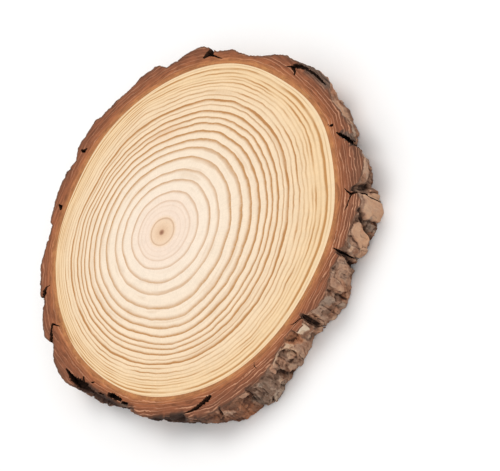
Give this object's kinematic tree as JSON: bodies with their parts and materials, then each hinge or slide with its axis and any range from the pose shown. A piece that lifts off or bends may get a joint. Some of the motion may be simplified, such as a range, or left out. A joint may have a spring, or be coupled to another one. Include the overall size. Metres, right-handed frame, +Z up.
{
  "type": "wood slice",
  "caption": "Round slice sawn across a conifer trunk, flat on both faces, with pale growth rings and a rough bark edge, used as a coaster, stand or craft base.",
  "frame": {"origin": "centre of the overall footprint, on the lower sawn face that the slice lies on", "axes": "+Z up through the thickness, along the grain; -Y towards the side with the widest open bark; +X to its right"},
  "size_m": [0.2807, 0.2835, 0.025],
  "materials": {
    "wood": "sawn and sanded bare softwood, matt, cream with tan growth rings",
    "bark": "rough dry bark, grey brown outside and reddish brown where it is sawn"
  },
  "bodies": {
    "root": {"wood_slice": "wood"}
  },
  "joints": []
}
